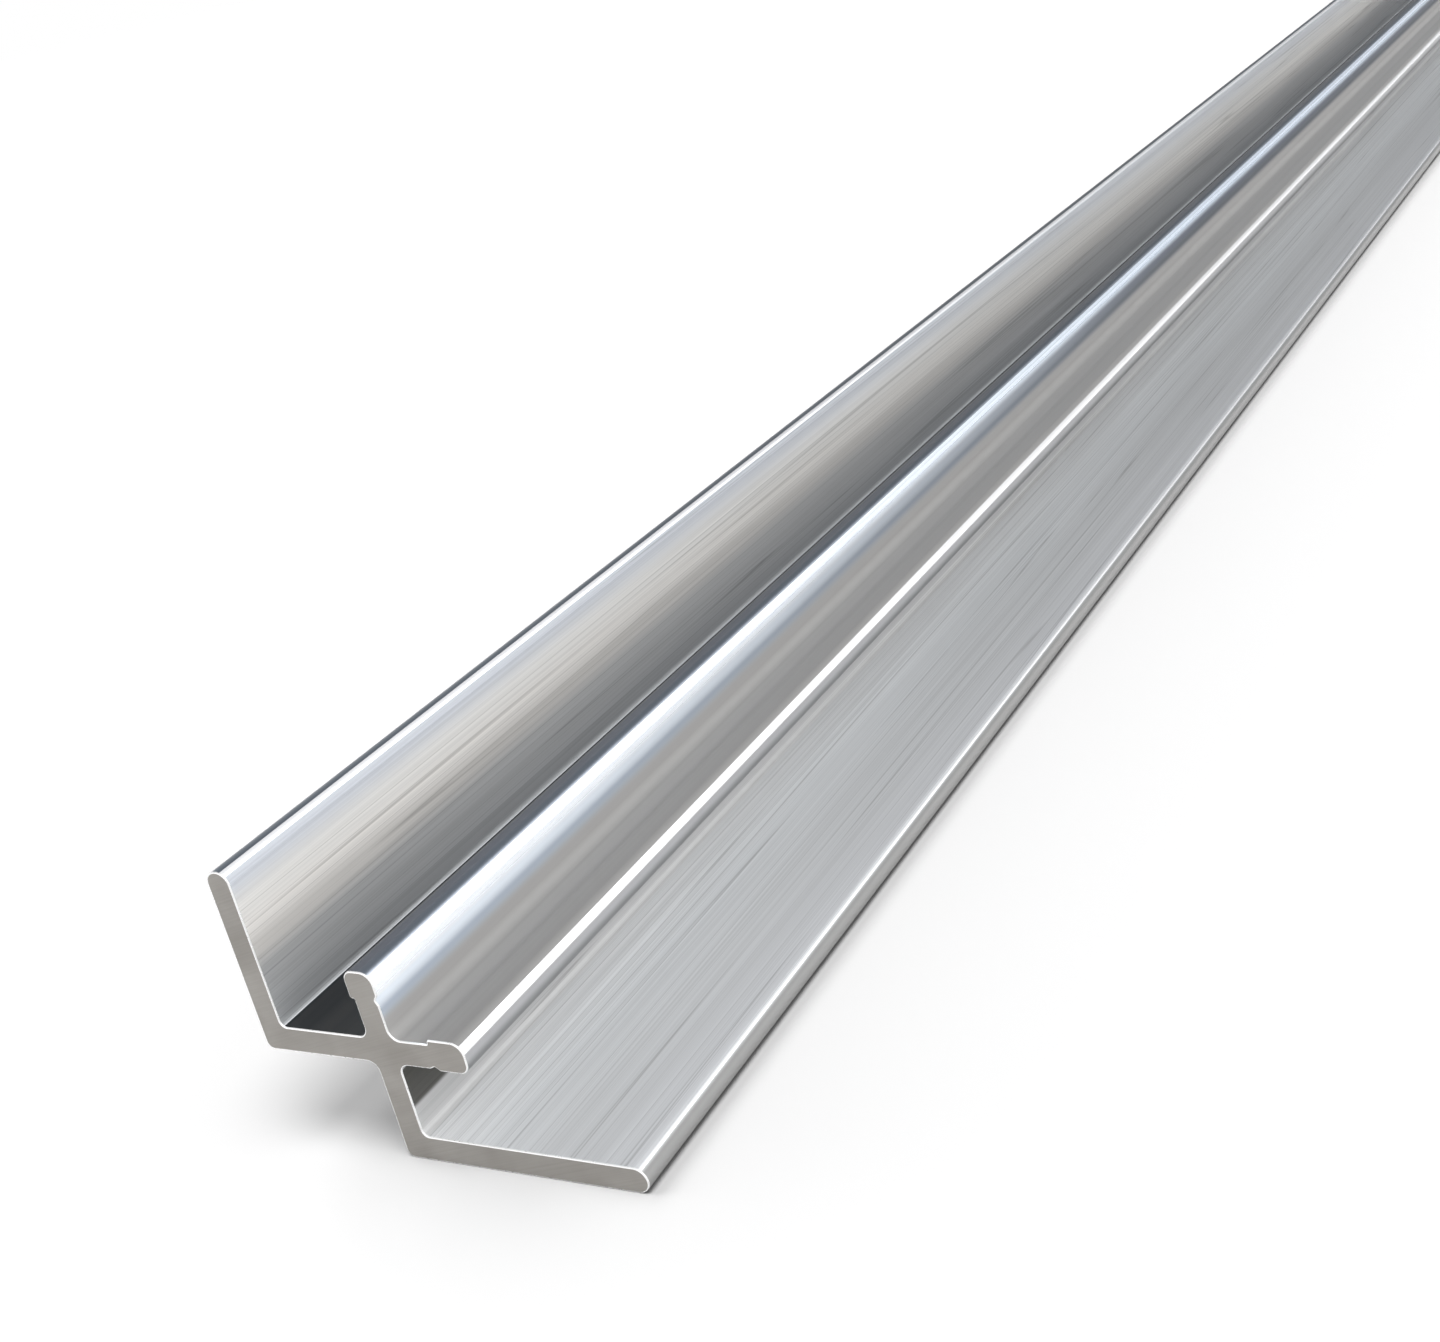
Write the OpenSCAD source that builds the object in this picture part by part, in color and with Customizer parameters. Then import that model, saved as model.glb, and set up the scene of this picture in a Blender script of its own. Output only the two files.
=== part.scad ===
// Extruded aluminium inside corner trim for cladding boards.
// Two channels stand at right angles and share a cross of two webs. One opens upwards, one sideways.
// The bar lies along Y on its base flange, with the section in X and Z.

/* [Bar] */
// Length of the bar as sold
bar_length = 2440; // [300:10:6000]
// Thickness of every flange and web
wall = 2; // [1.6:0.1:3]

/* [Channels] */
// Clear width of the channel that opens upwards, between the back flange and the upright web
upper_pocket = 7.8; // [5:0.1:14]
// Clear height of the channel that opens sideways, between the side web and the base flange
lower_pocket = 5.9; // [5:0.1:14]
// Height of the back flange above the floor of its channel
back_flange = 12.4; // [9:0.1:40]
// Reach of the base flange beyond the upright web
base_flange = 18; // [12:0.1:50]

/* [Lips] */
// Plain neck of each lip, from the crossing web to the head
neck = 3.1; // [2:0.1:6]
// Length of the upright lip's head
upright_head = 2.2; // [1.8:0.1:5]
// Length of the side lip's head
side_head = 2.9; // [1.8:0.1:5]
// How far a head stands out past the web on its shoulder side
shoulder = 0.35; // [0.1:0.05:0.6]
// How far a head stands out past the web on its plain side
brow = 0.1; // [0.05:0.05:0.3]
// Depth of the groove behind a head, on its plain side
groove_depth = 0.2; // [0.1:0.05:0.4]

/* [Radii] */
// Large corner radius of a head, on the side seen in the room
crown_r = 1; // [0.6:0.05:1.2]
// Small corner radius of a head, on the side of its channel
heel_r = 0.8; // [0.2:0.05:0.8]
// Fillets round the cross of the two webs
cross_fillet = 0.8; // [0.3:0.05:1.5]
// Fillets at the inner foot of the back flange and of the upright web
foot_fillet = 0.5; // [0.2:0.05:1]
// Outer corners below the back flange and below the upright web
outer_r = 0.6; // [0.2:0.05:1]

/* [Hidden] */
$fn = 64;

// Faces of the section, measured from the base flange's underside and the middle of the width
width = wall + upper_pocket + wall + base_flange;
back_x = -width / 2;
web_left = back_x + wall + upper_pocket;
web_right = web_left + wall;
tip_x = width / 2;
side_low = wall + lower_pocket;
side_top = side_low + wall;
tip_z = side_top + back_flange;
groove_r = 2 * groove_depth;
bite = wall / 4;

// Space between a corner and the arc of radius r that rounds it, which opens towards the signs sx, sz.
// It fills a hollow corner as a fillet, and trims a proud corner to a radius.
module spandrel(x, z, sx, sz, r)
    translate([x, z])
        scale_sign(sx, sz)
            difference() {
                translate([-bite, -bite]) square(r + bite);
                translate([r, r]) circle(r = r);
            }

// Flips the plane so that a corner opens towards the signs sx, sz
module scale_sign(sx, sz)
    mirror([sx < 0 ? 1 : 0, 0])
        mirror([0, sz < 0 ? 1 : 0])
            children();

// Strip of the section between two corners
module strip(x0, z0, x1, z1)
    translate([x0, z0]) square([x1 - x0, z1 - z0]);

// Flange with a fully rounded tip, from the origin along +X, wall thick towards +Y
module round_ended(reach) {
    square([reach - wall / 2, wall]);
    translate([reach - wall / 2, wall / 2]) circle(d = wall);
}

// Lip along +Y with its shoulder towards -X. It starts inside the cross, below its neck.
module lip(head, shoulder_side_r, plain_side_r) {
    top = neck + head;
    difference() {
        union() {
            strip(0, -wall / 2, wall, top - head / 2);
            strip(-shoulder, neck, wall + brow, top);
        }
        spandrel(-shoulder, neck, 1, 1, shoulder);
        spandrel(-shoulder, top, 1, -1, shoulder_side_r);
        spandrel(wall + brow, top, -1, -1, plain_side_r);
        translate([wall + groove_r - groove_depth, neck]) circle(r = groove_r);
    }
}

// Upright flange at the back, on the side web that joins it to the cross
module back_channel() {
    difference() {
        union() {
            translate([back_x, side_low]) strip(0, 0, web_left - back_x + wall / 2, wall);
            translate([back_x + wall, side_low]) rotate(90) round_ended(tip_z - side_low);
        }
        spandrel(back_x, side_low, 1, 1, outer_r);
    }
    spandrel(back_x + wall, side_top, 1, 1, foot_fillet);
}

// Flange that lies on the floor, under the upright web that joins it to the cross
module base_channel() {
    difference() {
        union() {
            strip(web_left, 0, web_right, side_low + wall / 2);
            translate([web_left, 0]) round_ended(tip_x - web_left);
        }
        spandrel(web_left, 0, 1, 1, outer_r);
    }
    spandrel(web_right, wall, 1, 1, foot_fillet);
}

// Cross where the webs meet, with its four fillets and the two headed lips
module cross() {
    strip(web_left, side_low, web_right, side_top);
    for (sx = [-1, 1], sz = [-1, 1])
        spandrel(sx < 0 ? web_left : web_right, sz < 0 ? side_low : side_top, sx, sz, cross_fillet);
    translate([web_left, side_top]) lip(upright_head, heel_r, crown_r);
    translate([web_right, side_top]) rotate(-90) lip(side_head, crown_r, heel_r);
}

module section() {
    back_channel();
    base_channel();
    cross();
}

module corner_trim()
    color([0.78, 0.79, 0.8])
        rotate([90, 0, 0])
            linear_extrude(height = bar_length, center = true)
                section();

corner_trim();
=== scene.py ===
# %% [markdown]
# # An extruded inside corner trim
# The object is one bar of aluminium. A press pushed it through a die, so its section is the same all
# along, and a saw cut it to length. That asks for a sweep and not for modelling by hand: draw the section
# once, with true arcs, and let Geometry Nodes carry it along the bar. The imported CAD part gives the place
# and the size.

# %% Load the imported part
import math

import bmesh
import bpy
from mathutils import Matrix, Vector


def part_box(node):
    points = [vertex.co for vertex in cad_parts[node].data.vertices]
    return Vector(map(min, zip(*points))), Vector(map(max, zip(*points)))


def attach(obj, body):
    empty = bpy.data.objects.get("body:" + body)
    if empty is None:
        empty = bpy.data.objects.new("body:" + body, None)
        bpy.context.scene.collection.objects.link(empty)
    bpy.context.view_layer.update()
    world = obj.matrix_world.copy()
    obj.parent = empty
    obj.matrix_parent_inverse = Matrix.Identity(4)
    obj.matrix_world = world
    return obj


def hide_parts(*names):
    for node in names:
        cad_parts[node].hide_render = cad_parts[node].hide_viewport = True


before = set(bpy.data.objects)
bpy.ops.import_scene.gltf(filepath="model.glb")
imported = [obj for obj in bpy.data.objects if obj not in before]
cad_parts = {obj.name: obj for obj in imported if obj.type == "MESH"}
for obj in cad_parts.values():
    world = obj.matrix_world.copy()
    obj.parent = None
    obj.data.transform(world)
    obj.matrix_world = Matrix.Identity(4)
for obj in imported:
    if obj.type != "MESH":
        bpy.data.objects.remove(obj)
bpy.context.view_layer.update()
MM = 0.001
trim_low, trim_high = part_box("corner_trim")
print("bar in mm:", [round(side / MM, 2) for side in trim_high - trim_low])

# %% [markdown]
# ## The camera
# The photograph looks along the bar from its cut end, from the right and from above, with the camera turned
# a little clockwise. Its place, its three angles and its focal length came from fitting a camera to the
# corners of the cut end and to the long edges. It stands only about 14 cm from the cut end, which is why
# the bar shrinks so fast towards the far end.

# %% Camera
camera_place = Vector((0.08247, -1.29989, 0.07556))
heading = math.radians(33.46)
looks_down = math.radians(21.83)
roll = math.radians(-14.01)

camera_data = bpy.data.cameras.new("camera")
camera_data.sensor_fit = "HORIZONTAL"
camera_data.sensor_width = 36.0
camera_data.lens = 48.66
camera_data.clip_start = 0.01
camera = bpy.data.objects.new("camera", camera_data)
turn = Matrix.Rotation(heading, 4, "Z") @ Matrix.Rotation(math.pi / 2 - looks_down, 4, "X")
camera.matrix_world = Matrix.Translation(camera_place) @ turn @ Matrix.Rotation(roll, 4, "Z")
bpy.context.scene.collection.objects.link(camera)
bpy.context.scene.camera = camera
print("camera stands", round((trim_low.y - camera_place.y) / MM), "mm before the cut end along Y")

# %% [markdown]
# ## Helpers for node trees
# Materials and Geometry Nodes are both graphs of nodes. Two small helpers keep each tree readable: one adds
# a node and sets its inputs, where an input may be a plain value or another node's output. The other
# starts a material and hands back its tree and its surface node.

# %% Node helpers
def add_node(tree, kind, inputs=None, **settings):
    made = tree.nodes.new(kind)
    for name, value in settings.items():
        setattr(made, name, value)
    for name, value in (inputs or {}).items():
        if isinstance(value, bpy.types.NodeSocket):
            tree.links.new(value, made.inputs[name])
        else:
            made.inputs[name].default_value = value
    return made


def new_material(name):
    material = bpy.data.materials.new(name)
    material.use_nodes = True
    tree = material.node_tree
    surface = tree.nodes["Principled BSDF"]
    return material, tree, surface


print("helpers ready")

# %% [markdown]
# ## The section
# The outline is a list of corners, each with the radius that rounds it. A flange ends in a half circle, so
# both of its tip corners get half the wall. Each stretch next to an arc gets one more point close to it, so
# that smooth shading stays flat on the flats and turns only in the arcs.

# %% Sizes of the section, in millimetres
wall = 2.0
upper_pocket = 7.8
lower_pocket = 5.9
neck = 3.1
upright_head = 2.2
side_head = 2.9
shoulder = 0.35
brow = 0.1
groove_depth = 0.2
groove_r = 2 * groove_depth
crown_r = 1.0
heel_r = 0.8
cross_fillet = 0.8
foot_fillet = 0.5
outer_r = 0.6
worn_r = 0.2

back_x = trim_low.x / MM
tip_x = trim_high.x / MM
tip_z = trim_high.z / MM
web_left = back_x + wall + upper_pocket
web_right = web_left + wall
side_low = wall + lower_pocket
side_top = side_low + wall
lip_top = side_top + neck + upright_head
lip_end = web_right + neck + side_head
print("webs at x", round(web_left, 2), "to", round(web_right, 2), "and z", side_low, "to", side_top)

# %% [markdown]
# ## A lip and its head
# Each web runs on past the cross as a short lip with a thicker head. One side of the head has a shoulder
# and the other side has a small groove behind it. Both lips are the same shape, so one function draws
# it in its own frame, and a second one puts it on its web.

# %% Lip outline
def lip_corners(head, shoulder_side_r, plain_side_r):
    top = neck + head
    return [
        (wall, neck - groove_r, worn_r),
        (wall - groove_depth, neck, worn_r),
        (wall + brow, neck + groove_r, worn_r),
        (wall + brow, top, plain_side_r),
        (-shoulder, top, shoulder_side_r),
        (-shoulder, neck, worn_r),
        (0.0, neck, worn_r / 2),
    ]


def place_upright(corner):
    across, along, radius = corner
    return (web_left + across, side_top + along, radius)


def place_sideways(corner):
    across, along, radius = corner
    return (web_right + along, side_top - across, radius)


upright_lip = [place_upright(corner) for corner in lip_corners(upright_head, heel_r, crown_r)]
side_lip = [place_sideways(corner) for corner in lip_corners(side_head, crown_r, heel_r)]
print("lips have", len(upright_lip), "and", len(side_lip), "corners")

# %% Corners of the whole section, anticlockwise from the foot of the back flange
section_corners = [
    (back_x, side_low, outer_r),
    (web_left, side_low, cross_fillet),
    (web_left, 0.0, outer_r),
    (tip_x, 0.0, wall / 2),
    (tip_x, wall, wall / 2),
    (web_right, wall, foot_fillet),
    (web_right, side_low, cross_fillet),
]
section_corners += side_lip
section_corners += [(web_right, side_top, cross_fillet)]
section_corners += upright_lip
section_corners += [
    (web_left, side_top, cross_fillet),
    (back_x + wall, side_top, foot_fillet),
    (back_x + wall, tip_z, wall / 2),
    (back_x, tip_z, wall / 2),
]
print("section has", len(section_corners), "corners")

# %% [markdown]
# ## Rounding a corner
# The arc that rounds a corner touches both of its edges. Its centre lies on the bisector, and it starts
# and ends at the same distance from the corner along each edge, here called its reach. That one rule serves
# hollow corners and proud ones alike. What two neighbouring arcs leave of their edge stays straight.

# %% Reach of each arc
corner_places = [Vector((x, z)) for x, z, radius in section_corners]
corner_radii = [radius for x, z, radius in section_corners]
corner_count = len(section_corners)


def sides_of(index):
    here = corner_places[index]
    to_before = (corner_places[index - 1] - here).normalized()
    to_after = (corner_places[(index + 1) % corner_count] - here).normalized()
    return to_before, to_after


def opening_of(index):
    to_before, to_after = sides_of(index)
    return to_before.angle(to_after)


reaches = [corner_radii[index] / math.tan(opening_of(index) / 2) for index in range(corner_count)]
straights = []
for index in range(corner_count):
    following = (index + 1) % corner_count
    edge = (corner_places[following] - corner_places[index]).length
    straights.append(edge - reaches[index] - reaches[following])
print("shortest straight between two arcs:", round(min(straights), 3), "mm")

# %% Round the corners
# An arc has a point at least every ARC_STEP. HOLD is the distance in millimetres from an arc to the extra
# point on the straight beside it. A very short straight has none, and arcs that touch share one point.
ARC_STEP = math.radians(7.5)
HOLD = 0.05


def arc_of(index):
    here = corner_places[index]
    to_before, to_after = sides_of(index)
    opening = opening_of(index)
    start = here + to_before * reaches[index]
    end = here + to_after * reaches[index]
    centre = here + (to_before + to_after).normalized() * corner_radii[index] / math.sin(opening / 2)
    swing = math.pi - opening
    steps = max(3, math.ceil(swing / ARC_STEP))
    points = []
    for step in range(steps + 1):
        share = step / steps
        spoke = (start - centre) * math.sin((1 - share) * swing) + (end - centre) * math.sin(share * swing)
        points.append(centre + spoke / math.sin(swing))
    return points


section_points = []
for index in range(corner_count):
    to_before, to_after = sides_of(index)
    arc = arc_of(index)
    if straights[index - 1] > 4 * HOLD:
        section_points.append(arc[0] + to_before * HOLD)
    elif straights[index - 1] < HOLD / 10:
        arc = arc[1:]
    section_points += arc
    if straights[index] > 4 * HOLD:
        section_points.append(arc[-1] + to_after * HOLD)
print("outline has", len(section_points), "points")

# %% Draw the outline as a closed curve
# The sweep turns the curve's own plane upright. Its -Y becomes the bar's up, so z is written as -Y.
outline_curve = bpy.data.curves.new("section_outline", "CURVE")
outline_curve.dimensions = "3D"
outline_spline = outline_curve.splines.new("POLY")
outline_spline.points.add(len(section_points) - 1)
for point, place in zip(outline_spline.points, reversed(section_points)):
    point.co = (place.x * MM, -place.y * MM, 0.0, 1.0)
outline_spline.use_cyclic_u = True
outline = bpy.data.objects.new("section_outline", outline_curve)
bpy.context.scene.collection.objects.link(outline)
print("outline drawn with", len(outline_spline.points), "points")

# %% [markdown]
# ## Finishes
# The drawn faces are brushed along the bar. Brushing leaves fine scratches that all run one way, so the
# gloss spreads across the bar and stays tight along it: that is anisotropy, with its tangent taken from
# the piece's own UV map. The scratches themselves are noise that is stretched along Y, at three widths.
# All of it reads Object coordinates, so it stays in its place on the bar.

# %% Streak noise shared by the finishes
# Nearly all of a noise texture lies between these two values.
NOISE_LOW = 0.3
NOISE_HIGH = 0.7
# A Mix node has sockets for several kinds of data. These are the places of those for colour.
FIRST_COLOUR = 6
SECOND_COLOUR = 7
MIXED_COLOUR = 2


def streaks(tree, place, across, along, detail=2.0):
    thin = 1 / (across * MM)
    long = 1 / (along * MM)
    stretch = add_node(tree, "ShaderNodeMapping", {"Vector": place, "Scale": (thin, long, thin)})
    noise = add_node(
        tree, "ShaderNodeTexNoise",
        {"Vector": stretch.outputs["Vector"], "Scale": 1.0, "Detail": detail, "Roughness": 0.55},
    )
    return noise.outputs["Fac"]


def remap(tree, value, low, high, start=NOISE_LOW, stop=NOISE_HIGH):
    made = add_node(
        tree, "ShaderNodeMapRange",
        {"Value": value, "From Min": start, "From Max": stop, "To Min": low, "To Max": high},
    )
    return made.outputs["Result"]


def mixed(tree, amount, first, second):
    made = add_node(
        tree, "ShaderNodeMix", {"Factor": amount, FIRST_COLOUR: first, SECOND_COLOUR: second},
        data_type="RGBA",
    )
    return made.outputs[MIXED_COLOUR]


print("streak helpers ready")

# %% Sums, ramps and hairlines
# A hairline is drawn where noise crosses its middle. This is how close to it the line ends.
HAIRLINE = 0.015


def smooth_ramp(tree, value, start, stop, low=0.0, high=1.0):
    made = add_node(
        tree, "ShaderNodeMapRange",
        {"Value": value, "From Min": start * MM, "From Max": stop * MM, "To Min": low, "To Max": high},
        interpolation_type="SMOOTHSTEP",
    )
    return made.outputs["Result"]


def calculate(tree, operation, first, second=0.0):
    made = add_node(tree, "ShaderNodeMath", {0: first, 1: second}, operation=operation)
    return made.outputs["Value"]


def hairlines(tree, place, across, along, depth):
    wander = streaks(tree, place, across, along, detail=1.0)
    off_line = calculate(tree, "ABSOLUTE", calculate(tree, "SUBTRACT", wander, 0.5))
    return remap(tree, off_line, 1 - depth, 1.0, start=0.0, stop=HAIRLINE)


print("ramp helpers ready")

# %% Painted light and shade that follow the section
def painted_light_along(tree, value, stops):
    first = stops[0][0]
    last = stops[-1][0]
    share = add_node(
        tree, "ShaderNodeMapRange", {"Value": value, "From Min": first * MM, "From Max": last * MM}
    )
    ramp = add_node(tree, "ShaderNodeValToRGB", {"Fac": share.outputs["Result"]})
    ramp.color_ramp.interpolation = "EASE"
    while len(ramp.color_ramp.elements) < len(stops):
        ramp.color_ramp.elements.new(1.0)
    for element, (spot, colour) in zip(ramp.color_ramp.elements, stops):
        element.position = (spot - first) / (last - first)
        element.color = (*colour, 1.0)
    return ramp.outputs["Color"]


def shaded(tree, tint, shade):
    made = add_node(tree, "ShaderNodeVectorMath", {0: tint, "Scale": shade}, operation="SCALE")
    return made.outputs["Vector"]


def add_bump(tree, surface, height, strength, depth):
    relief = {"Strength": strength, "Distance": depth * MM, "Height": height}
    bump = add_node(tree, "ShaderNodeBump", relief)
    tree.links.new(bump.outputs["Normal"], surface.inputs["Normal"])


print("tone helpers ready")

# %% [markdown]
# ## Painted light that calms away from the cut end
# The painted light and shade are strongest at the cut end and calm down within a hand's width or two of it:
# painted bright bands darken, and painted dark ones fill in. A finish that does so has two sets of painted
# tones, one for the near end and one for the rest of the bar, and goes smoothly from the first to the second
# along Y. The fade has begun before the cut end.

# %% Fade along the bar, in millimetres along Y
near_end = trim_low.y / MM
fade_from = near_end - 60
fade_to = near_end + 220
foot_line_gone = near_end + 180


# Mixes the near and the far painted light and shade along the bar.
def fade_painted_light(tree, along_bar, near_tint, far_tint):
    away = smooth_ramp(tree, along_bar, fade_from, fade_to)
    return mixed(tree, away, near_tint, far_tint)


print("tones have settled", fade_to - near_end, "mm from the cut end")

# %% [markdown]
# ## The brushed flanges
# The flanges are flat, but their base colour carries painted light and shade: the base flange is painted
# brighter beside its web under the side lip and darker in its fillet and towards its tip, the web is painted
# dark in the side lip's shadow, and the back flange has a painted reflection that darkens towards its foot.
# The stops below are heights or widths on the section, each with its painted tone.

# %% Brushed flanges
def make_brushed(name, side, stops, far_stops=None):
    material, tree, surface = new_material(name)
    place = add_node(tree, "ShaderNodeTexCoord").outputs["Object"]
    parts = add_node(tree, "ShaderNodeSeparateXYZ", {"Vector": place}).outputs
    grain = streaks(tree, place, across=0.11, along=45.0, detail=4.0)
    bands = streaks(tree, place, across=0.6, along=220.0, detail=3.0)
    broad = streaks(tree, place, across=2.6, along=400.0)
    shade = calculate(tree, "MULTIPLY", remap(tree, grain, 0.9, 1.1), remap(tree, bands, 0.95, 1.05))
    shade = calculate(tree, "MULTIPLY", shade, remap(tree, broad, 0.96, 1.04))
    scratches = hairlines(tree, place, across=0.9, along=260.0, depth=0.3)
    shade = calculate(tree, "MULTIPLY", shade, scratches)
    # The tone stops are painted light and shade; the streaks are the brushing.
    tint = painted_light_along(tree, parts[side], stops)
    if far_stops:
        tint = fade_painted_light(tree, parts["Y"], tint, painted_light_along(tree, parts[side], far_stops))
    tree.links.new(shaded(tree, tint, shade), surface.inputs["Base Color"])
    spread = calculate(tree, "ADD", remap(tree, bands, 0.38, 0.46), remap(tree, grain, -0.05, 0.05))
    tree.links.new(spread, surface.inputs["Roughness"])
    surface.inputs["Metallic"].default_value = 0.42
    surface.inputs["Anisotropic"].default_value = 0.7
    tangent = add_node(tree, "ShaderNodeTangent", direction_type="UV_MAP", uv_map="UVMap")
    tree.links.new(tangent.outputs["Tangent"], surface.inputs["Tangent"])
    add_bump(tree, surface, grain, strength=0.3, depth=0.01)
    return material


# Painted shade in the fillet, painted light beside the web under the side lip, darker towards the tip.
brushed_base_painted_light = make_brushed("brushed_base_painted_light", "X", [
    (web_right, (0.58, 0.58, 0.58)),
    (web_right + 0.6 * foot_fillet, (0.6, 0.6, 0.6)),
    (web_right + foot_fillet, (0.78, 0.79, 0.8)),
    (web_right + 0.8, (0.84, 0.85, 0.86)),
    (web_right + 6, (0.75, 0.765, 0.78)),
    (web_right + 11, (0.6, 0.61, 0.62)),
    (tip_x, (0.6, 0.61, 0.625)),
])
# Painted shadow of the side lip on the upper web, lighter below it.
brushed_web_painted_shadow = make_brushed("brushed_web_painted_shadow", "Z", [
    (wall, (0.5, 0.5, 0.5)),
    (wall + 2.2, (0.44, 0.44, 0.44)),
    (wall + 2.6, (0.075, 0.073, 0.067)),
    (side_low, (0.055, 0.053, 0.047)),
])
print("finishes:", brushed_base_painted_light.name, brushed_web_painted_shadow.name)

# %% Brushed back flange, with painted light for the near end and for the rest
# Painted reflection on the back flange: dark towards its foot, light higher up, bluish at its tip.
near_back_painted_light = [
    (side_top, (0.39, 0.4, 0.41)),
    (side_top + 4.4, (0.37, 0.375, 0.38)),
    (side_top + 6.2, (0.53, 0.515, 0.495)),
    (side_top + 7.8, (0.69, 0.67, 0.645)),
    (side_top + 9.5, (0.66, 0.65, 0.63)),
    (tip_z - 0.8, (0.5, 0.525, 0.57)),
]
far_back_painted_light = [
    (side_top, (0.5, 0.515, 0.53)),
    (side_top + 4.4, (0.49, 0.495, 0.5)),
    (side_top + 6.2, (0.55, 0.54, 0.525)),
    (side_top + 7.8, (0.64, 0.63, 0.61)),
    (side_top + 9.5, (0.57, 0.57, 0.565)),
    (tip_z - 0.8, (0.44, 0.46, 0.49)),
]
brushed_back_painted_light = make_brushed("brushed_back_painted_light", "Z", near_back_painted_light, far_back_painted_light)
print("finish:", brushed_back_painted_light.name)

# %% [markdown]
# ## The painted highlights and the painted shade
# The brushing belt touches only the wide flanges. The heads of the lips and the tips of the flanges keep
# the smooth skin that the die left, and their bright lines are painted highlights: a near-white finish on
# the faces that look towards the soft box. The fillet at the foot of the back flange holds such a painted
# highlight too, which dies away along the bar. Painted shade darkens what lies deeper or turns from the
# light: the pockets for the boards, the top of the back flange's tip and the nose of the base flange.

# %% Painted highlights on the rims and painted shade in the pockets
# Near-white tints for the painted highlights.
highlight_tints = ((0.93, 0.94, 0.96, 1.0), (0.96, 0.96, 0.97, 1.0))


def add_drawn_lines(tree, surface, place, roughness):
    drawn = streaks(tree, place, across=0.4, along=900.0)
    uneven = calculate(tree, "ADD", roughness, remap(tree, drawn, -0.03, 0.03))
    tree.links.new(uneven, surface.inputs["Roughness"])
    add_bump(tree, surface, drawn, strength=0.15, depth=0.01)


def make_drawn_finish(name, first, second, roughness, metallic=1.0, keeps_far=1.0):
    material, tree, surface = new_material(name)
    place = add_node(tree, "ShaderNodeTexCoord").outputs["Object"]
    broad = streaks(tree, place, across=2.5, along=400.0)
    tint = mixed(tree, remap(tree, broad, 0.0, 1.0), first, second)
    # A painted highlight can die away along the bar, keeping this share of its tone.
    if keeps_far < 1.0:
        parts = add_node(tree, "ShaderNodeSeparateXYZ", {"Vector": place}).outputs
        left = smooth_ramp(tree, parts["Y"], near_end, foot_line_gone, 1.0, keeps_far)
        tint = shaded(tree, tint, left)
    tree.links.new(tint, surface.inputs["Base Color"])
    surface.inputs["Metallic"].default_value = metallic
    add_drawn_lines(tree, surface, place, roughness)
    return material


# Painted highlights on the rims and the foot fillet; painted shade on the tip's top, in the pockets and on
# the base flange's nose.
rim_painted_highlight = make_drawn_finish("rim_painted_highlight", *highlight_tints, 0.2, metallic=0.5)
foot_painted_highlight = make_drawn_finish("foot_painted_highlight", *highlight_tints, 0.2, metallic=0.5, keeps_far=0.15)
shaded_top = make_drawn_finish("shaded_top", (0.22, 0.25, 0.29, 1.0), (0.27, 0.3, 0.34, 1.0), 0.3)
# Painted shade for the pockets and the upper part of the foot fillet.
pocket_painted_shade = make_drawn_finish("pocket_painted_shade", (0.05, 0.055, 0.06, 1.0), (0.08, 0.083, 0.085, 1.0), 0.4)
shaded_nose = make_drawn_finish("shaded_nose", (0.38, 0.38, 0.38, 1.0), (0.44, 0.44, 0.435, 1.0), 0.35)
print("finishes:", rim_painted_highlight.name, foot_painted_highlight.name, shaded_top.name, pocket_painted_shade.name, shaded_nose.name)

# %% [markdown]
# The top of the upright lip has painted shade that lightens towards the room, and the nose of the side lip
# has painted shade that lightens upwards. Both are smooth and drawn, with painted tones that follow the
# section.

# %% Lip top and lip nose
def make_graded_finish(name, side, stops, roughness):
    material, tree, surface = new_material(name)
    place = add_node(tree, "ShaderNodeTexCoord").outputs["Object"]
    parts = add_node(tree, "ShaderNodeSeparateXYZ", {"Vector": place}).outputs
    tree.links.new(painted_light_along(tree, parts[side], stops), surface.inputs["Base Color"])
    surface.inputs["Metallic"].default_value = 1.0
    add_drawn_lines(tree, surface, place, roughness)
    return material


# Painted shade on the top of the upright lip, lighter towards the room.
lip_top_painted_shade = make_graded_finish("lip_top_painted_shade", "X", [
    (web_left - shoulder, (0.12, 0.13, 0.155)),
    (web_left + 0.9, (0.17, 0.185, 0.215)),
    (web_right - 0.5, (0.3, 0.33, 0.37)),
    (web_right, (0.42, 0.45, 0.5)),
], 0.3)
# Painted shade on the nose of the side lip, lighter upwards.
lip_nose_painted_shade = make_graded_finish("lip_nose_painted_shade", "Z", [
    (side_low - shoulder, (0.08, 0.08, 0.08)),
    (side_low - 0.1, (0.19, 0.19, 0.19)),
    (side_low + 0.45, (0.34, 0.34, 0.34)),
    (side_low + 1.1, (0.6, 0.6, 0.61)),
], 0.35)
print("finishes:", lip_top_painted_shade.name, lip_nose_painted_shade.name)

# %% [markdown]
# ## The face of the lips
# The head of the upright lip carries a painted highlight, a bright band that fades into painted shade in the
# corner between the two lips. The fade is soft, so one finish holds both. One ramp over the height gives
# the painted tones, and a second one the roughness: the head is smooth and glossy and the corner is matt.
# Away from the cut end the painted band is darker below and turns bluish above.

# %% Painted light and shade of the lip face
dull_below = side_top + 1.4
bright_above = side_top + neck + 0.8


def part_way(share):
    return dull_below + share * (bright_above - dull_below)


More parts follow.
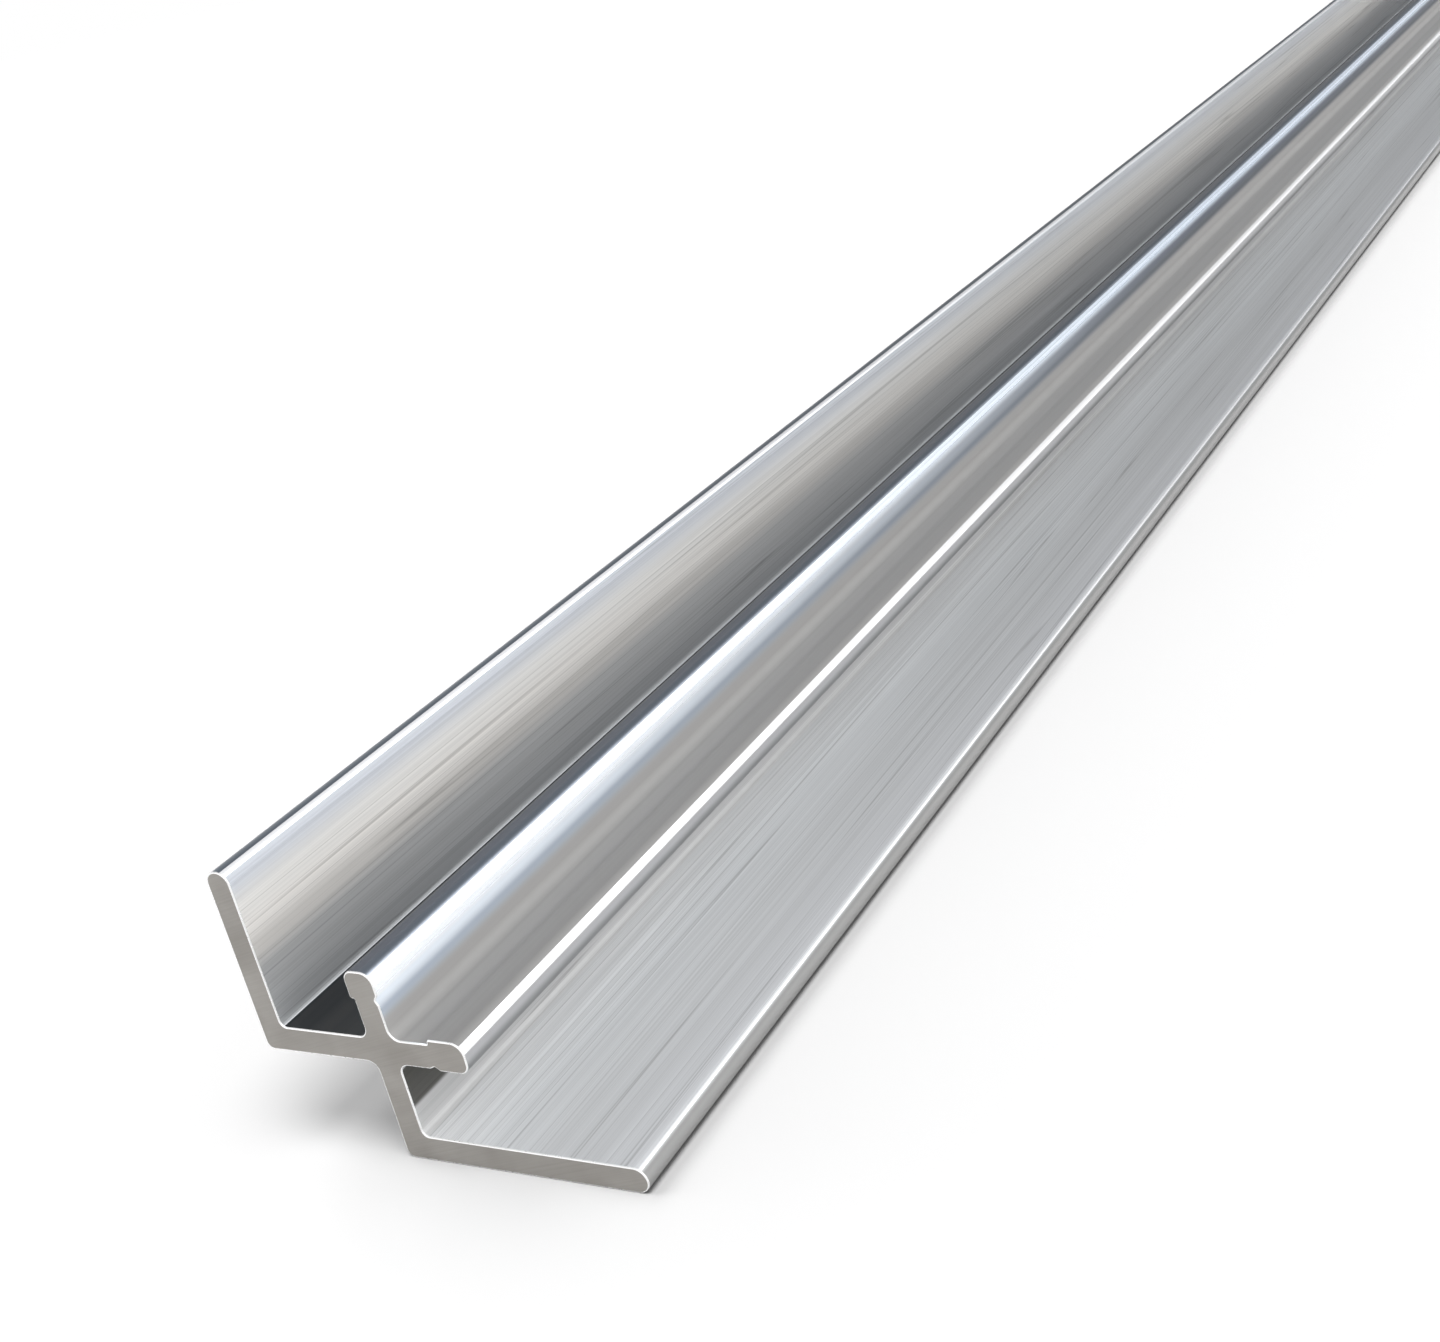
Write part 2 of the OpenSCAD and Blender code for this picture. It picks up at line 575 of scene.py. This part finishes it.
# Painted highlight on the head and painted shade in the corner below it.
near_lip_painted_light = [
    (dull_below, (0.36, 0.355, 0.35)),
    (part_way(0.36), (0.42, 0.47, 0.54)),
    (part_way(0.66), (0.86, 0.92, 0.99)),
    (bright_above, (0.93, 0.96, 0.99)),
]
far_lip_painted_light = [
    (dull_below, (0.41, 0.405, 0.4)),
    (part_way(0.4), (0.13, 0.14, 0.16)),
    (part_way(0.8), (0.13, 0.15, 0.19)),
    (bright_above + 0.4, (0.6, 0.68, 0.79)),
    (lip_top, (0.72, 0.79, 0.88)),
]
print("the lip face goes from dull to bright within", round(bright_above - dull_below, 2), "mm")

# %% Lip face
def make_lip_face():
    material, tree, surface = new_material("lip_face_painted_light")
    place = add_node(tree, "ShaderNodeTexCoord").outputs["Object"]
    parts = add_node(tree, "ShaderNodeSeparateXYZ", {"Vector": place}).outputs
    near_tint = painted_light_along(tree, parts["Z"], near_lip_painted_light)
    far_tint = painted_light_along(tree, parts["Z"], far_lip_painted_light)
    tint = fade_painted_light(tree, parts["Y"], near_tint, far_tint)
    broad = remap(tree, streaks(tree, place, across=1.6, along=400.0), 0.94, 1.06)
    # The painted tones also darken from the web towards the side lip's nose.
    outwards = smooth_ramp(tree, parts["X"], web_right + 1, lip_end - crown_r, 1.1, 0.9)
    shade = calculate(tree, "MULTIPLY", broad, outwards)
    tree.links.new(shaded(tree, tint, shade), surface.inputs["Base Color"])
    surface.inputs["Metallic"].default_value = 0.6
    roughness = smooth_ramp(tree, parts["Z"], dull_below, bright_above, 0.78, 0.28)
    add_drawn_lines(tree, surface, place, roughness)
    return material


lip_face_painted_light = make_lip_face()
print("finish:", lip_face_painted_light.name)

# %% [markdown]
# ## The sawn end
# A fine saw leaves a flat, matt face with faint parallel marks, and a deburring tool then breaks its edge.
# The broken edge is narrow and bright, and it is what draws the section so clearly in the photograph.

# %% Sawn end and its broken edge
saw_slant = math.radians(18)
saw_marks = (60.0, 60.0, 7000.0)


def plain_noise(tree, place, scale, detail=2.0):
    noise = add_node(tree, "ShaderNodeTexNoise", {"Vector": place, "Scale": scale, "Detail": detail})
    return noise.outputs["Fac"]


def make_sawn_end():
    material, tree, surface = new_material("sawn_end")
    place = add_node(tree, "ShaderNodeTexCoord").outputs["Object"]
    tilted = add_node(tree, "ShaderNodeMapping", {"Vector": place, "Rotation": (0.0, saw_slant, 0.0)})
    stretch = add_node(tree, "ShaderNodeMapping", {"Vector": tilted.outputs["Vector"], "Scale": saw_marks})
    marks = plain_noise(tree, stretch.outputs["Vector"], scale=1.0, detail=3.0)
    cloud = remap(tree, plain_noise(tree, place, scale=260.0), 0.0, 1.0)
    tint = mixed(tree, cloud, (0.31, 0.295, 0.275, 1.0), (0.37, 0.355, 0.335, 1.0))
    tree.links.new(tint, surface.inputs["Base Color"])
    tree.links.new(remap(tree, marks, 0.5, 0.62), surface.inputs["Roughness"])
    surface.inputs["Metallic"].default_value = 0.9
    add_bump(tree, surface, marks, strength=0.25, depth=0.02)
    return material


def make_broken_edge():
    material, tree, surface = new_material("broken_edge")
    place = add_node(tree, "ShaderNodeTexCoord").outputs["Object"]
    nicks = plain_noise(tree, place, scale=3000.0)
    tree.links.new(remap(tree, nicks, 0.22, 0.4), surface.inputs["Roughness"])
    surface.inputs["Base Color"].default_value = (0.95, 0.95, 0.95, 1.0)
    surface.inputs["Metallic"].default_value = 1.0
    return material


sawn_end = make_sawn_end()
broken_edge = make_broken_edge()
print("finishes:", sawn_end.name, broken_edge.name)

# %% [markdown]
# ## The sweep
# The tree draws a straight line along the bar, carries the outline along it and closes both ends. It also
# stores what later steps need: how far round the section each point lies and how far along the bar, as a
# UV map, and a bevel weight on the edges of the two ends, so that only those are broken. Each part of the
# tree has its own function.

# %% Inputs of the sweep
SWEEP_INPUTS = [
    ("Geometry", "NodeSocketGeometry"),
    ("Section", "NodeSocketObject"),
    ("Start", "NodeSocketVector"),
    ("End", "NodeSocketVector"),
    ("Bays", "NodeSocketInt"),
    ("Flange finish", "NodeSocketMaterial"),
    ("Sawn finish", "NodeSocketMaterial"),
]


def add_sweep_sockets(tree):
    for name, kind in SWEEP_INPUTS:
        tree.interface.new_socket(name, in_out="INPUT", socket_type=kind)
    tree.interface.new_socket("Geometry", in_out="OUTPUT", socket_type="NodeSocketGeometry")
    return add_node(tree, "NodeGroupInput").outputs


print("the sweep has", len(SWEEP_INPUTS), "inputs")

# %% Carry the outline along the bar
def add_swept_outline(tree, given):
    line = add_node(tree, "GeometryNodeCurvePrimitiveLine", {"Start": given["Start"], "End": given["End"]})
    rail = add_node(
        tree, "GeometryNodeResampleCurve", {"Curve": line.outputs["Curve"], "Count": given["Bays"]}
    )
    upright = add_node(tree, "GeometryNodeSetCurveNormal", {"Curve": rail.outputs["Curve"]}, mode="Z_UP")
    section = add_node(tree, "GeometryNodeObjectInfo", {"Object": given["Section"]})
    round_it = add_node(tree, "GeometryNodeSplineParameter")
    captured = add_node(tree, "GeometryNodeCaptureAttribute", {"Geometry": section.outputs["Geometry"]})
    captured.capture_items.new("FLOAT", "Round")
    tree.links.new(round_it.outputs["Length"], captured.inputs["Round"])
    swept = add_node(
        tree, "GeometryNodeCurveToMesh",
        {
            "Curve": upright.outputs["Curve"],
            "Profile Curve": captured.outputs["Geometry"],
            "Fill Caps": True,
        },
    )
    return swept.outputs["Mesh"], captured.outputs["Round"]


def add_chart(tree, mesh, round_outline, along_bar):
    chart = add_node(tree, "ShaderNodeCombineXYZ", {"X": round_outline, "Y": along_bar})
    mapped = add_node(
        tree, "GeometryNodeStoreNamedAttribute",
        {"Geometry": mesh, "Name": "UVMap", "Value": chart.outputs["Vector"]},
        data_type="FLOAT2", domain="CORNER",
    )
    return mapped.outputs["Geometry"]


print("outline parts of the tree ready")

# %% Mark the edges of the two ends
# An edge counts as sharp above this turn, and lies on an end within this distance of it.
SHARP_TURN = math.radians(70)
END_SLACK = 0.01 * MM


def add_end_weights(tree, bar_mesh, along_bar, far_end):
    edge_turn = add_node(tree, "GeometryNodeInputMeshEdgeAngle").outputs["Unsigned Angle"]
    is_sharp = add_node(
        tree, "FunctionNodeCompare", {"A": edge_turn, "B": SHARP_TURN},
        data_type="FLOAT", operation="GREATER_THAN",
    )
    from_middle = add_node(tree, "ShaderNodeMath", {0: along_bar}, operation="ABSOLUTE").outputs["Value"]
    half_bar = add_node(tree, "ShaderNodeSeparateXYZ", {"Vector": far_end}).outputs["Y"]
    at_end = add_node(
        tree, "FunctionNodeCompare", {"A": from_middle, "B": half_bar, "Epsilon": END_SLACK},
        data_type="FLOAT", operation="EQUAL",
    )
    both = add_node(
        tree, "FunctionNodeBooleanMath", {0: is_sharp.outputs["Result"], 1: at_end.outputs["Result"]},
        operation="AND",
    )
    weighted = add_node(
        tree, "GeometryNodeStoreNamedAttribute",
        {"Geometry": bar_mesh, "Name": "bevel_weight_edge", "Value": both.outputs["Boolean"]},
        data_type="FLOAT", domain="EDGE",
    )
    return weighted.outputs["Geometry"]


print("an end edge turns more than", round(math.degrees(SHARP_TURN)), "degrees")

# %% Finishes of the sweep
# A face belongs to an end when its normal points nearly along the bar.
END_FACING = 0.9


def add_finishes(tree, bar_mesh, given):
    drawn = add_node(
        tree, "GeometryNodeSetMaterial", {"Geometry": bar_mesh, "Material": given["Flange finish"]}
    )
    normal = add_node(tree, "GeometryNodeInputNormal").outputs["Normal"]
    facing = add_node(tree, "ShaderNodeSeparateXYZ", {"Vector": normal})
    along = add_node(tree, "ShaderNodeMath", {0: facing.outputs["Y"]}, operation="ABSOLUTE")
    is_end = add_node(
        tree, "FunctionNodeCompare", {"A": along.outputs["Value"], "B": END_FACING},
        data_type="FLOAT", operation="GREATER_THAN",
    )
    sawn = add_node(
        tree, "GeometryNodeSetMaterial",
        {
            "Geometry": drawn.outputs["Geometry"],
            "Selection": is_end.outputs["Result"],
            "Material": given["Sawn finish"],
        },
    )
    return sawn.outputs["Geometry"]


print("finish part of the tree ready")

# %% Build the sweep tree
def make_sweep_tree():
    tree = bpy.data.node_groups.new("swept_section", "GeometryNodeTree")
    given = add_sweep_sockets(tree)
    bar_mesh, round_outline = add_swept_outline(tree, given)
    position = add_node(tree, "GeometryNodeInputPosition").outputs["Position"]
    along_bar = add_node(tree, "ShaderNodeSeparateXYZ", {"Vector": position}).outputs["Y"]
    bar_mesh = add_chart(tree, bar_mesh, round_outline, along_bar)
    bar_mesh = add_end_weights(tree, bar_mesh, along_bar, given["End"])
    bar_mesh = add_finishes(tree, bar_mesh, given)
    real = add_node(tree, "GeometryNodeRealizeInstances", {"Geometry": bar_mesh})
    add_node(tree, "NodeGroupOutput", {"Geometry": real.outputs["Geometry"]})
    return tree


def set_input(modifier, name, value):
    for item in modifier.node_group.interface.items_tree:
        if item.item_type == "SOCKET" and item.in_out == "INPUT" and item.name == name:
            modifier[item.identifier] = value


sweep_tree = make_sweep_tree()
print("sweep tree has", len(sweep_tree.nodes), "nodes")

# %% Sweep the bar and break the edges of its ends
# The modifier holds the break back to 0.1 mm, where the breaks along the arcs' short edges would meet.
edge_break = 0.16 * MM
bays = 25
first_finishes = [brushed_base_painted_light, sawn_end, broken_edge]

bar = bpy.data.objects.new("trim_bar", bpy.data.meshes.new("trim_bar"))
bpy.context.scene.collection.objects.link(bar)
for finish in first_finishes:
    bar.data.materials.append(finish)
sweep = bar.modifiers.new("sweep", "NODES")
sweep.node_group = sweep_tree
set_input(sweep, "Section", outline)
set_input(sweep, "Start", (0.0, trim_low.y, 0.0))
set_input(sweep, "End", (0.0, trim_high.y, 0.0))
set_input(sweep, "Bays", bays)
set_input(sweep, "Flange finish", brushed_base_painted_light)
set_input(sweep, "Sawn finish", sawn_end)
breaking = bar.modifiers.new("edge_break", "BEVEL")
breaking.limit_method = "WEIGHT"
breaking.width = edge_break
breaking.segments = 2
breaking.material = first_finishes.index(broken_edge)
breaking.harden_normals = False
print("the bar has", bays, "rows of points along it, before its end edges are broken")

# %% [markdown]
# The modifiers are baked into a plain mesh. The baked mesh knows only the two finishes that the tree set,
# and the broken edges carry the number of the next one, so that finish is the first to be added again.

# %% Bake the modifiers into a plain mesh
crease = math.radians(20)
bpy.context.view_layer.update()
baked = bpy.data.meshes.new_from_object(bar.evaluated_get(bpy.context.evaluated_depsgraph_get()))
bar.modifiers.clear()
bar.data = baked
baked.name = "trim_bar"
for finish in (
    broken_edge, brushed_back_painted_light, brushed_web_painted_shadow, rim_painted_highlight, shaded_top, shaded_nose, pocket_painted_shade, lip_face_painted_light,
    lip_top_painted_shade, lip_nose_painted_shade, foot_painted_highlight,
):
    baked.materials.append(finish)
baked.set_sharp_from_angle(angle=crease)
bpy.data.objects.remove(outline)
print("baked bar:", len(baked.vertices), "vertices,", len(baked.polygons), "faces")

# %% Measure the baked mesh
low = [min(vertex.co[axis] for vertex in baked.vertices) / MM for axis in range(3)]
high = [max(vertex.co[axis] for vertex in baked.vertices) / MM for axis in range(3)]
print("from", [round(v, 3) for v in low], "to", [round(v, 3) for v in high])
measured = bmesh.new()
measured.from_mesh(baked)
print("volume in mm3:", round(measured.calc_volume(signed=True) / MM ** 3))
print("open edges:", sum(not edge.is_manifold for edge in measured.edges))
measured.free()
from_end = [(trim_high.y - abs(vertex.co.y)) / MM for vertex in baked.vertices]
print("end edges are broken by", round(max(gap for gap in from_end if gap < 1), 3), "mm")

# %% [markdown]
# ## Which stretch has which finish
# The sweep gave the whole section one brushed finish. Each face now gets its own finish from where it lies
# on the section. Faces are picked by their centre, so the borders fall on the edges between faces. On an
# arc the tilt of a face decides: a rounded tip gets a painted highlight, a near-white finish on the faces
# that look towards the soft box, with painted shade beside it.

# %% Tilts at which an arc changes its finish
# The tilt is where a face looks, in degrees: 0 is level and towards the room, 90 is straight up.
# Within a shine range a face gets a painted highlight; beyond it, painted shade or the flange's painted
# tones.
back_tip_shine = (34, 64)
base_tip_shine = (52, 67)
foot_arc = (5, 85)
foot_shine = (52, 60)
lip_top_from = 42
nose_shine_from = 4


def by_tilt(tilt, shine, below, within, above):
    if tilt >= shine[1]:
        return above
    return within if tilt > shine[0] else below


print("tip of the back flange shines from", back_tip_shine[0], "to", back_tip_shine[1], "degrees")

# %% Hand out the finishes
def finish_at(x, z, tilt):
    in_foot = x < back_x + wall + foot_fillet and z < side_top + foot_fillet
    # The tips of the back and base flange, and the fillet at the foot of the back flange: painted highlights
    # at the shining tilts, painted shade beside them
    if z > tip_z - wall / 2:
        return by_tilt(tilt, back_tip_shine, below=brushed_back_painted_light, within=rim_painted_highlight, above=shaded_top)
    if x > tip_x - wall / 2:
        return by_tilt(tilt, base_tip_shine, below=shaded_nose, within=rim_painted_highlight, above=brushed_base_painted_light)
    if in_foot and foot_arc[0] < tilt < foot_arc[1]:
        return by_tilt(tilt, foot_shine, below=brushed_back_painted_light, within=foot_painted_highlight, above=pocket_painted_shade)
    # The rest of the back flange with its painted tones, and the side of the upright lip that faces it, in
    # painted shade
    if x < back_x + wall + foot_fillet / 2:
        return brushed_back_painted_light
    if x < web_left + wall / 4 and side_top - brow < z < side_top + neck:
        return pocket_painted_shade
    # The head of the upright lip with painted shade on top, and the nose of the side lip with a painted
    # highlight above painted shade
    if z > lip_top - crown_r and x < web_right + 2 * brow:
        return lip_top_painted_shade if tilt > lip_top_from else lip_face_painted_light
    if x > lip_end - crown_r and side_low - shoulder < z < side_top + brow / 2:
        return rim_painted_highlight if tilt > nose_shine_from else lip_nose_painted_shade
    # The web below the side lip with its painted shadow, and the faces of both lips towards the room with
    # their painted light
    if web_right - brow < x < web_right + brow and wall + foot_fillet < z < side_low:
        return brushed_web_painted_shadow
    if z > side_low + wall / 2 and x > web_left - 2 * shoulder:
        return lip_face_painted_light
    return brushed_base_painted_light


places_of_finish = {material: index for index, material in enumerate(baked.materials)}
still_swept = places_of_finish[brushed_base_painted_light]
for face in baked.polygons:
    if face.material_index == still_swept:
        tilt = math.degrees(math.atan2(face.normal.z, face.normal.x))
        face.material_index = places_of_finish[finish_at(face.center.x / MM, face.center.z / MM, tilt)]
for material, index in places_of_finish.items():
    print(material.name, sum(face.material_index == index for face in baked.polygons), "faces")

# %% [markdown]
# The groove behind each head is shallow, and the skin that the die left has softened it, so it hardly
# shows along the bar. Its own normals would draw it as hard lines. The faces of a lip get the normal of the
# lip's flat side instead, up to where the head starts to round.

# %% Calm the normals over the grooves
# A side face leans no more than this along the bar, and it takes the calm normal where the two agree.
LEANS_ALONG = 0.01
AGREES = 0.5


def calm_normal(x, z):
    if x < web_right + cross_fillet:
        return Vector((1.0, 0.0, 0.0)) if side_top + cross_fillet < z < lip_top - crown_r else None
    return Vector((0.0, 0.0, 1.0)) if x < lip_end - crown_r else None


corner_normals = [Vector((0.0, 0.0, 0.0)) for corner in baked.loops]
calmed = 0
for face in baked.polygons:
    if face.material_index != places_of_finish[lip_face_painted_light] or abs(face.normal.y) > LEANS_ALONG:
        continue
    for corner in face.loop_indices:
        spot = baked.vertices[baked.loops[corner].vertex_index].co / MM
        wanted = calm_normal(spot.x, spot.z)
        if wanted and wanted.dot(face.normal) > AGREES:
            corner_normals[corner] = wanted
            calmed += 1
baked.normals_split_custom_set(corner_normals)
print("calmed", calmed, "of", len(corner_normals), "corner normals")

# %% [markdown]
# ## Hanging the looks on the part
# The dressed bar takes the place of the plain solid and rides on the same body.

# %% Ride on the part
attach(bar, "root")
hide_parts("corner_trim")
print(bar.name, "stands for corner_trim and rides on root")

# %% [markdown]
# ## The studio
# A pale floor under a pale sky gives the white sheet of the photograph. The floor is wide, because a view
# from low down sees far along it, and its edge would still draw a line. So it turns clear between 4 and
# 12 m from the bar, where the backdrop takes over in the same white.

# %% Floor
floor_size = 60.0
floor_albedo = 0.2
clears_from = 4000  # in millimetres, as for the finishes
clears_by = 12000

half = floor_size / 2
floor_corners = [(-half, -half, 0), (half, -half, 0), (half, half, 0), (-half, half, 0)]
floor_mesh = bpy.data.meshes.new("floor")
floor_mesh.from_pydata(floor_corners, [], [(0, 1, 2, 3)])
floor = bpy.data.objects.new("floor", floor_mesh)
bpy.context.scene.collection.objects.link(floor)
floor_material, floor_tree, floor_surface = new_material("floor")
floor_surface.inputs["Base Color"].default_value = (floor_albedo, floor_albedo, floor_albedo, 1.0)
floor_surface.inputs["Roughness"].default_value = 0.9
floor_surface.inputs["Specular IOR Level"].default_value = 0.0
floor_spot = add_node(floor_tree, "ShaderNodeTexCoord").outputs["Object"]
from_bar = add_node(floor_tree, "ShaderNodeVectorMath", {0: floor_spot}, operation="LENGTH")
clearing = smooth_ramp(floor_tree, from_bar.outputs["Value"], clears_from, clears_by)
clear = add_node(floor_tree, "ShaderNodeBsdfTransparent").outputs["BSDF"]
melting = add_node(
    floor_tree, "ShaderNodeMixShader", {0: clearing, 1: floor_surface.outputs["BSDF"], 2: clear}
)
floor_tree.links.new(melting.outputs[0], floor_tree.nodes["Material Output"].inputs["Surface"])
floor_mesh.materials.append(floor_material)
print("floor is", floor_size, "m wide and clear beyond", clears_by * MM, "m")

# %% [markdown]
# Two soft lamps draw the shadows on the floor: a key from high up on the right, and a lower fill from the
# left. Metal would mirror them as hard spots, so light linking keeps them off the bar: each lamp has a
# collection of receivers, and the floor is the only object in it. The floor itself is a grey sheet that is
# lit until it is just white. That way the shadows are drawn by the lamps and not by the sky. A lamp's share
# is the part of that white which it gives, whatever its height.

# %% Lamps for the floor
floor_only = bpy.data.collections.new("floor_only")
floor_only.objects.link(floor)


def add_floor_lamp(name, compass, height, spread, share):
    lamp_data = bpy.data.lights.new(name, "SUN")
    lamp_data.angle = math.radians(spread)
    lamp_data.energy = share * math.pi / (floor_albedo * math.sin(math.radians(height)))
    lamp = bpy.data.objects.new(name, lamp_data)
    turn = Matrix.Rotation(math.radians(compass), 4, "Z") @ Matrix.Rotation(math.radians(-height), 4, "Y")
    lamp.matrix_world = turn @ Matrix.Rotation(math.radians(90), 4, "Y")
    bpy.context.scene.collection.objects.link(lamp)
    lamp.light_linking.receiver_collection = floor_only
    return lamp


floor_key = add_floor_lamp("floor_key", compass=-36.0, height=75.0, spread=33.0, share=0.51)
floor_fill = add_floor_lamp("floor_fill", compass=171.0, height=40.0, spread=62.0, share=0.36)
for lamp in (floor_key, floor_fill):
    print(lamp.name, "stands towards", [round(part, 2) for part in lamp.matrix_world.col[2][:3]])

# %% [markdown]
# The bar gets one small lamp of its own, a hand's width from its cut end. Its light falls off along the bar,
# so the near end is a little brighter than the rest. It lights the metal's matt share and isn't mirrored.

# %% Lamp for the near end
bar_only = bpy.data.collections.new("bar_only")
bar_only.objects.link(bar)
near_lamp_data = bpy.data.lights.new("near_lamp", "AREA")
near_lamp_data.shape = "DISK"
near_lamp_data.size = 0.06
near_lamp_data.energy = 0.055
near_lamp = bpy.data.objects.new("near_lamp", near_lamp_data)
near_aim = Vector((0.0, trim_low.y, 0.01))
near_place = near_aim + Vector((0.085, 0.0, 0.055))
near_turn = (near_place - near_aim).to_track_quat("Z", "Y").to_matrix().to_4x4()
near_lamp.matrix_world = Matrix.Translation(near_place) @ near_turn
near_lamp.visible_glossy = False
near_lamp.light_linking.receiver_collection = bar_only
bpy.context.scene.collection.objects.link(near_lamp)
print("near lamp is", round((near_place - near_aim).length / MM), "mm from the bar")

# %% [markdown]
# ## The sky
# The sky plays three parts, and Light Path tells them apart: the camera sees it plain white, matt surfaces
# are lit by a soft white light that is stronger from the right, and metal mirrors a studio with one long
# soft box. A long bar shows the same strip of that studio all along, because only the angle across the bar
# decides what a face mirrors. So the sky is painted by that angle alone, as if long soft boxes ran beside
# the bar: from the floor on the right at 0 degrees, over the top at 90, to the floor on the left at 180.

# %% Sky helpers
# A colour ramp holds no more than 1, so light is kept in it as a share of the brightest.
BRIGHTEST = 4.0

world = bpy.data.worlds.new("sky")
world.use_nodes = True
bpy.context.scene.world = world
sky_tree = world.node_tree
sky_tree.nodes.clear()
direction = add_node(sky_tree, "ShaderNodeTexCoord").outputs["Generated"]
aim = add_node(sky_tree, "ShaderNodeSeparateXYZ", {"Vector": direction}).outputs
half_turn = calculate(sky_tree, "DIVIDE", calculate(sky_tree, "ARCTAN2", aim["Z"], aim["X"]), math.pi)


def banded_light(bands):
    ramp = add_node(sky_tree, "ShaderNodeValToRGB", {"Fac": half_turn})
    ramp.color_ramp.interpolation = "EASE"
    while len(ramp.color_ramp.elements) < len(bands):
        ramp.color_ramp.elements.new(1.0)
    for stop, (degrees, colour) in zip(ramp.color_ramp.elements, bands):
        stop.position = degrees / 180
        stop.color = (*(part / BRIGHTEST for part in colour), 1.0)
    light = {"Color": ramp.outputs["Color"], "Strength": BRIGHTEST}
    return add_node(sky_tree, "ShaderNodeBackground", light)


def plain_light(strength):
    light = {"Color": (1.0, 1.0, 1.0, 1.0), "Strength": strength}
    return add_node(sky_tree, "ShaderNodeBackground", light)


def choose(amount, first, second):
    lights = {0: amount, 1: first.outputs[0], 2: second.outputs[0]}
    return add_node(sky_tree, "ShaderNodeMixShader", lights)


def aims_along(start, stop):
    made = add_node(
        sky_tree, "ShaderNodeMapRange", {"Value": aim["Y"], "From Min": start, "From Max": stop},
        interpolation_type="SMOOTHSTEP",
    )
    return made.outputs["Result"]


print("sky helpers ready")

# %% The studio that metal mirrors
soft_box = (3.2, 3.25, 3.3)
mirrored_bands = [
    (0, (1.25, 1.25, 1.25)),
    (24, (0.95, 0.95, 0.95)),
    (43, (0.7, 0.7, 0.7)),
    (50, soft_box),
    (62, soft_box),
    (72, (0.45, 0.47, 0.5)),
    (100, (0.33, 0.35, 0.38)),
    (135, (0.52, 0.53, 0.55)),
    (180, (0.7, 0.7, 0.7)),
]
print("the studio has", len(mirrored_bands), "bands")

# %% [markdown]
# What the bar mirrors almost along itself comes from far down the studio. There the soft box has ended and
# all the light is weaker, so the bar is calmer where the view along it is flat. Behind the camera the studio
# is plain white, which is what the sawn end mirrors.

# %% The far part of the studio and the part behind the camera
far_box = (0.42, 0.45, 0.49)
far_share = 0.55
front_strength = 1.3


def far_tone(colour):
    return far_box if colour == soft_box else [far_share * part for part in colour]


far_bands = [(degrees, far_tone(colour)) for degrees, colour in mirrored_bands]
is_far = aims_along(0.6, 0.98)
is_beside = aims_along(-0.15, 0.1)
mirrored = choose(is_far, banded_light(mirrored_bands), banded_light(far_bands))
studio = choose(is_beside, plain_light(front_strength), mirrored)
print("the far soft box has", round(far_box[1] / soft_box[1], 2), "of the light of the near one")

# %% The light on matt surfaces, and the whole sky
soft_bands = [
    (0, (1.67, 1.67, 1.67)),
    (55, (1.67, 1.67, 1.67)),
    (75, (0.49, 0.49, 0.49)),
    (180, (0.49, 0.49, 0.49)),
]
seen_by = add_node(sky_tree, "ShaderNodeLightPath").outputs
lit = choose(seen_by["Is Diffuse Ray"], studio, banded_light(soft_bands))
whole = choose(seen_by["Is Camera Ray"], lit, plain_light(1.0))
add_node(sky_tree, "ShaderNodeOutputWorld", {"Surface": whole.outputs[0]})
print("sky has", len(sky_tree.nodes), "nodes")

# %% [markdown]
# ## Colour
# The plain colour transform shows the tones as they are set here.

# %% Colour
bpy.context.scene.view_settings.view_transform = "Standard"
bpy.context.scene.view_settings.look = "None"
print("colour transform:", bpy.context.scene.view_settings.view_transform)
